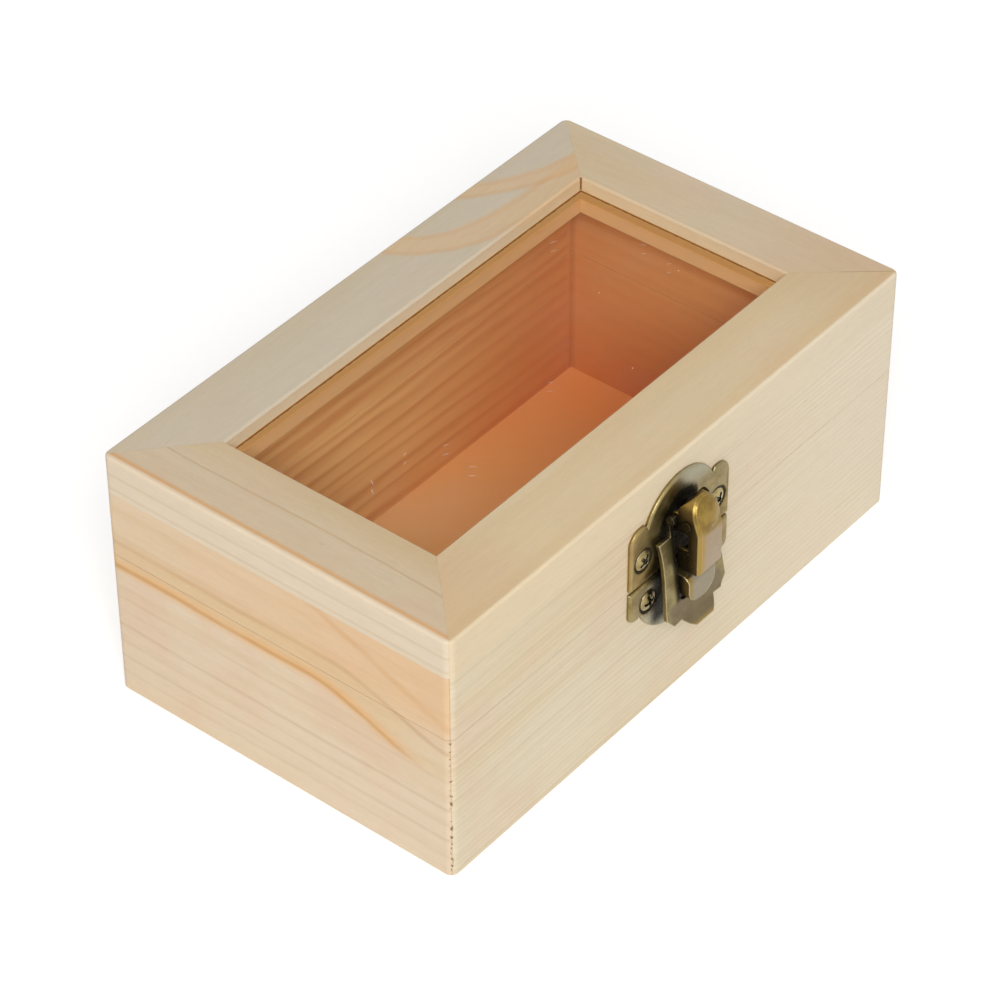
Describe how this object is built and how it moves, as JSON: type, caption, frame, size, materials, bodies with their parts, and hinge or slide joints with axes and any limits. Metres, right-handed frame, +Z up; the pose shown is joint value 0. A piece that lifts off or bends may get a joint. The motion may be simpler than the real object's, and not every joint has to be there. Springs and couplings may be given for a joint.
{
  "type": "wooden box with window",
  "caption": "Small hinged pine box with mitred corners, a clear window in its lid and a bronze duckbill latch on the front.",
  "frame": {"origin": "centre of the underside of the box's walls", "axes": "+X along the length to the right as seen from the latch side, +Y from the latch side to the hinge side, +Z up"},
  "size_m": [0.127, 0.0874, 0.054],
  "materials": {
    "pine_side": "raw planed pine, unvarnished",
    "pine_frame": "raw sanded pine",
    "panel": "thin plywood, unvarnished",
    "pane": "clear sheet",
    "bronze_plate": "antique bronze plating, dull, darker in the recesses",
    "bronze_lever": "antique bronze plating, rubbed bright",
    "bronze_pin": "dark antique bronze",
    "bronze_screw": "antique bronze plating",
    "bronze_hinge": "antique bronze plating, dull"
  },
  "bodies": {
    "case": {"front_wall": "pine_side", "back_wall": "pine_side", "left_wall": "pine_side", "right_wall": "pine_side", "bottom_panel": "panel", "latch_lower_plate": "bronze_plate", "lower_plate_screws": "bronze_screw", "left_hinge_case_leaf": "bronze_hinge", "right_hinge_case_leaf": "bronze_hinge", "left_hinge_pin": "bronze_hinge", "right_hinge_pin": "bronze_hinge", "hinge_case_screws": "bronze_screw"},
    "lid": {"lid_front_wall": "pine_side", "lid_back_wall": "pine_side", "lid_left_wall": "pine_side", "lid_right_wall": "pine_side", "frame_front_rail": "pine_frame", "frame_back_rail": "pine_frame", "frame_left_rail": "pine_frame", "frame_right_rail": "pine_frame", "window_glass": "pane", "latch_upper_plate": "bronze_plate", "upper_plate_screws": "bronze_screw", "latch_lever_pin": "bronze_pin", "left_hinge_lid_leaf": "bronze_hinge", "right_hinge_lid_leaf": "bronze_hinge", "hinge_lid_screws": "bronze_screw"},
    "lever": {"latch_lever": "bronze_lever"},
    "loop_pins": {"latch_loop_pins": "bronze_pin"},
    "loop": {"latch_loop": "bronze_plate"}
  },
  "joints": [
    {"name": "lid_hinge", "type": "hinge", "parent": "case", "child": "lid", "pos_m": [0, 0.04, 0.032], "axis": [-1, 0, 0], "range_deg": [0, 175]},
    {"name": "lever_pivot", "type": "hinge", "parent": "lid", "child": "lever", "pos_m": [-0.0022, -0.04275, 0.0425], "axis": [-1, 0, 0], "range_deg": [0, 40]},
    {"name": "loop_pin_turn", "type": "hinge", "parent": "lever", "child": "loop_pins", "pos_m": [-0.0022, -0.04035, 0.0435], "axis": [-1, 0, 0], "range_deg": [-40, 0]},
    {"name": "loop_swing", "type": "hinge", "parent": "loop_pins", "child": "loop", "pos_m": [-0.0022, -0.04035, 0.0435], "axis": [-1, 0, 0], "range_deg": [0, 90]}
  ],
  "couplings": [
    {"joint": "loop_pin_turn", "follows": "lever_pivot", "ratio": -1}
  ]
}
